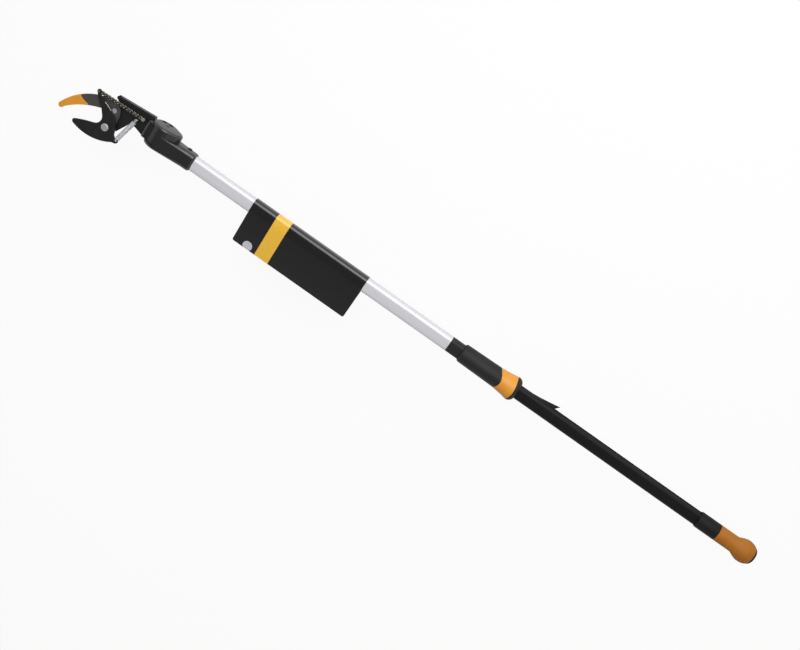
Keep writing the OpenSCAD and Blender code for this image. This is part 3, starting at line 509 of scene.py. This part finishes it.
# the outer plates carry painted shade: their colour is darker than the steel's own, for the rail's shadow
dress("chain_outer_links", "outerLinks", plateSteelAndShade, edge=0.2)
dress("chain_inner_links", "innerLinks", linkSteel, edge=0.2)
dress("chain_rollers", "chainRollers", darkSteel, edge=0.2)
dress("chain_pins", "chainPins", linkSteel, edge=0.3)
dress("reel", "strapReel", nylon, edge=0.4)
dress("reel_shaft", "reelShaft", darkSteel, edge=0.3)
dress("grip_core", "gripCore", orangePlastic, edge=0.5)
dress("grip_sleeve", "gripSleeve", softGrip, edge=0.8)
dress("grip_collar", "gripCollar", satinNylon, edge=0.8)
dress("strap_clamp", "strapClamp", nylon, edge=0.3)
dress("card_sleeve", "cardSleeve", card, edge=0.2)
dress("pull_strap", "pullStrap", webbing, edge=0)
dress("drive_strap", "driveStrap", webbing, edge=0)
print("rigid pieces dressed")


# Spring, straps and the card's seal

def ringSkin(name, rings, material):
    # closed skin over rings of points, each ring with the same count
    count = len(rings[0])
    points = [point for ring in rings for point in ring]
    faces = []
    for i in range(len(rings) - 1):
        for k in range(count):
            a, b = i * count + k, i * count + (k + 1) % count
            faces.append((a, b, b + count, a + count))
    faces.append(tuple(range(count))[::-1])
    faces.append(tuple(range((len(rings) - 1) * count, len(rings) * count)))
    mesh = bpy.data.meshes.new(name)
    mesh.from_pydata(points, [], faces)
    mesh.update()
    shape = bmesh.new()
    shape.from_mesh(mesh)
    bmesh.ops.recalc_face_normals(shape, faces=shape.faces)
    shape.to_mesh(mesh)
    shape.free()
    smoothAbove(mesh, meshing["softCrease"])
    return solidOf(name, mesh, material)


def tubeRings(path, radius, sides):
    # round sections along a path, carried on without a twist
    rings = []
    side = zAxis
    for i, point in enumerate(path):
        ahead = (path[min(i + 1, len(path) - 1)] - path[max(i - 1, 0)]).normalized()
        side = (side - ahead * side.dot(ahead)).normalized()
        other = ahead.cross(side)
        rings.append([point + radius * (math.cos(a) * side + math.sin(a) * other)
                      for a in (2 * math.pi * k / sides for k in range(sides))])
    return rings


# millimetres and degrees; yields is the share of the length that keeps to the head when the blade turns
spring = {"post": (1440.3, -3.6), "hole": (1455.6, 53.0), "wire": 1.05, "sides": 10, "across": 9.5,
          "turns": 47, "steps": 18, "lead": 2.2, "loop": 2.6, "loopFrom": 230, "loopStep": 15,
          "loopPoints": 19, "hookTurn": 160, "hookPoints": 12, "yields": 0.72}


def makeSpring():
    # close-wound pull spring: a loop on the post, the coil, and a hook through the blade's tail
    post = Vector((*spring["post"], 0)) * mm
    hole = Vector((*spring["hole"], 0)) * mm
    ahead = (hole - post).normalized()
    across = ahead.cross(zAxis)
    length = (hole - post).length
    curl = (spring["across"] - spring["wire"]) / 2 * mm
    loop = spring["loop"] * mm
    start = loop + spring["lead"] * mm
    stop = length - curl
    path = []
    for i in range(spring["loopPoints"]):
        a = math.radians(spring["loopFrom"] - spring["loopStep"] * i)
        path.append(post + ahead * loop * math.cos(a) + across * loop * math.sin(a))
    total = spring["turns"] * spring["steps"]
    for i in range(total + 1):
        a = 2 * math.pi * i / spring["steps"] + math.pi / 2
        path.append(post + ahead * (start + (stop - start) * i / total)
                    + across * curl * math.cos(a) + zAxis * curl * math.sin(a))
    for i in range(1, spring["hookPoints"] + 1):
        a = math.radians(spring["hookTurn"] * i / spring["hookPoints"])
        path.append(post + ahead * (stop + curl * math.sin(a)) + zAxis * curl * math.cos(a))
    rings = tubeRings(path, spring["wire"] / 2 * mm, spring["sides"])
    made = ringSkin("returnSpring", rings, springSteel)
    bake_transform(made)
    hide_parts("return_spring")


makeSpring()

# millimetres and degrees; the slanted cut starts at slantFrom of the way to the free end
tail = {"root": 550.0, "length": 84.0, "level": -12.0, "lift": 6.2, "turn": 62.0, "width": 10.0,
        "thick": 1.2, "steps": 48, "cut": 9.0, "slantFrom": 0.75}


def strapSection(centre, turn, width, thick):
    # rounded flat section: the selvedge at each edge is a little thinner than the middle
    wide = Vector((0, math.sin(turn), math.cos(turn)))
    deep = Vector((0, math.cos(turn), -math.sin(turn)))
    outline = [(-0.5, -0.2), (-0.46, -0.42), (-0.38, -0.46), (-0.3, -0.5),
               (0.3, -0.5), (0.38, -0.46), (0.46, -0.42), (0.5, -0.2),
               (0.5, 0.2), (0.46, 0.42), (0.38, 0.46), (0.3, 0.5),
               (-0.3, 0.5), (-0.38, 0.46), (-0.46, 0.42), (-0.5, 0.2)]
    return [(centre + wide * u * width + deep * v * thick, u) for u, v in outline]


def makeTail():
    # loose end of the strap: it lifts and turns away from the tube, and is cut on the slant
    width, thick, cut = tail["width"] * mm, tail["thick"] * mm, tail["cut"] * mm
    rings = []
    for i in range(tail["steps"] + 1):
        k = 1 - i / tail["steps"]
        centre = Vector((tail["root"] - tail["length"] * k, tail["level"] - tail["lift"] * k * k, 0)) * mm
        turn = math.radians(tail["turn"] * k * k)
        slant = max(0, (k - tail["slantFrom"]) / (1 - tail["slantFrom"])) * cut
        rings.append([point + Vector((slant * (u + 0.5), 0, 0))
                      for point, u in strapSection(centre, turn, width, thick)])
    made = ringSkin("strapTail", rings, webbing)
    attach(made, "grip")
    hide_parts("strap_tail")


makeTail()

# millimetres; ends is the share of the section that is left at both ends
beads = {
    # the next bead is a painted highlight: a pale line where the collar's rounded front edge catches the
    # light
    "collarLip": {"line": [(1412.2, -24.2), (1412.5, -16.0), (1412.7, -7.3), (1412.5, 1.5), (1412.2, 9.6)],
                  "level": 16.3, "wide": 3.2, "high": 0.9, "ends": 0.55, "sides": 8,
                  "body": "head", "slot": "frame_metal"},
    # the next bead is a painted highlight: a pale line where the blade's edge catches the light
    "bladeEdgeHighlight": {"line": [(1512.6, -1.2), (1507.3, 1.0), (1501.8, 3.3), (1496.3, 5.6), (1491.6, 7.8),
                          (1488.6, 9.7)],
                 "level": 1.5, "wide": 1.7, "high": 0.6, "ends": 0.3, "sides": 8,
                 "body": "blade", "slot": "blade_steel"}}


def makeBead(name, material):
    # low rounded bead along an edge, coloured pale as a painted highlight where the edge catches the light
    bead = beads[name]
    line = [Vector((x, y, bead["level"])) * mm for x, y in bead["line"]]
    last = len(line) - 1
    rings = []
    for i, point in enumerate(line):
        ahead = (line[min(i + 1, last)] - line[max(i - 1, 0)]).normalized()
        side = ahead.cross(zAxis)
        full = (bead["ends"] if i in (0, last) else 1.0) * mm
        angles = [math.pi * k / bead["sides"] for k in range(bead["sides"] + 1)]
        rings.append([point + side * (bead["wide"] / 2 * full * math.cos(a))
                      + zAxis * (bead["high"] * full * math.sin(a)) for a in angles])
    made = ringSkin(name, rings, material)
    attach(made, bead["body"])


makeBead("collarLip", collarHighlightPaint)
makeBead("bladeEdgeHighlight", bladeHighlightPaint)

# millimetres; tip is the share of the radius where the rows start, and above is where the rays start
seal = {"spot": (1133.3, 73.6), "radius": 10.0, "thick": 0.12, "rows": 24, "columns": 20, "inset": 0.15,
        "tip": 0.998, "above": 100.0, "lift": 0.02}


def makeSeal(name, side):
    # half of a round film seal on one flap, cut off by the card's free edge
    flap = BVHTree.FromPolygons([v.co for v in nodes["card_sleeve"].data.vertices],
                                [p.vertices for p in nodes["card_sleeve"].data.polygons])
    middle, radius = Vector(seal["spot"]) * mm, seal["radius"] * mm
    start = middle.y - radius * seal["tip"]
    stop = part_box("card_sleeve")[1][1] - seal["inset"] * mm
    points, faces = [], []
    for i in range(seal["rows"] + 1):
        y = start + (stop - start) * i / seal["rows"]
        half = math.sqrt(max(radius ** 2 - (y - middle.y) ** 2, 0))
        for k in range(seal["columns"] + 1):
            x = middle.x + half * (2 * k / seal["columns"] - 1)
            touch = flap.ray_cast(Vector((x, y, seal["above"] * mm * side)), -zAxis * side)[0]
            points.append(Vector((x, y, touch.z + seal["lift"] * mm * side)))
    wide = seal["columns"] + 1
    for i in range(seal["rows"]):
        for k in range(seal["columns"]):
            a = i * wide + k
            faces.append((a, a + 1, a + wide + 1, a + wide))
    mesh = bpy.data.meshes.new(name)
    mesh.from_pydata(points, [], faces if side > 0 else [face[::-1] for face in faces])
    mesh.update()
    smoothAbove(mesh, meshing["softCrease"])
    made = solidOf(name, mesh, sealFilm)
    film = made.modifiers.new("film", "SOLIDIFY")
    film.thickness = seal["thick"] * mm
    film.offset = 1
    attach(made, nodes["card_sleeve"]["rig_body"])


makeSeal("sealFront", 1)
makeSeal("sealBack", -1)
hubStrap = dress("hub_strap", "hubStrap", webbing, edge=0)
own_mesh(hubStrap)
print("spring and straps made")
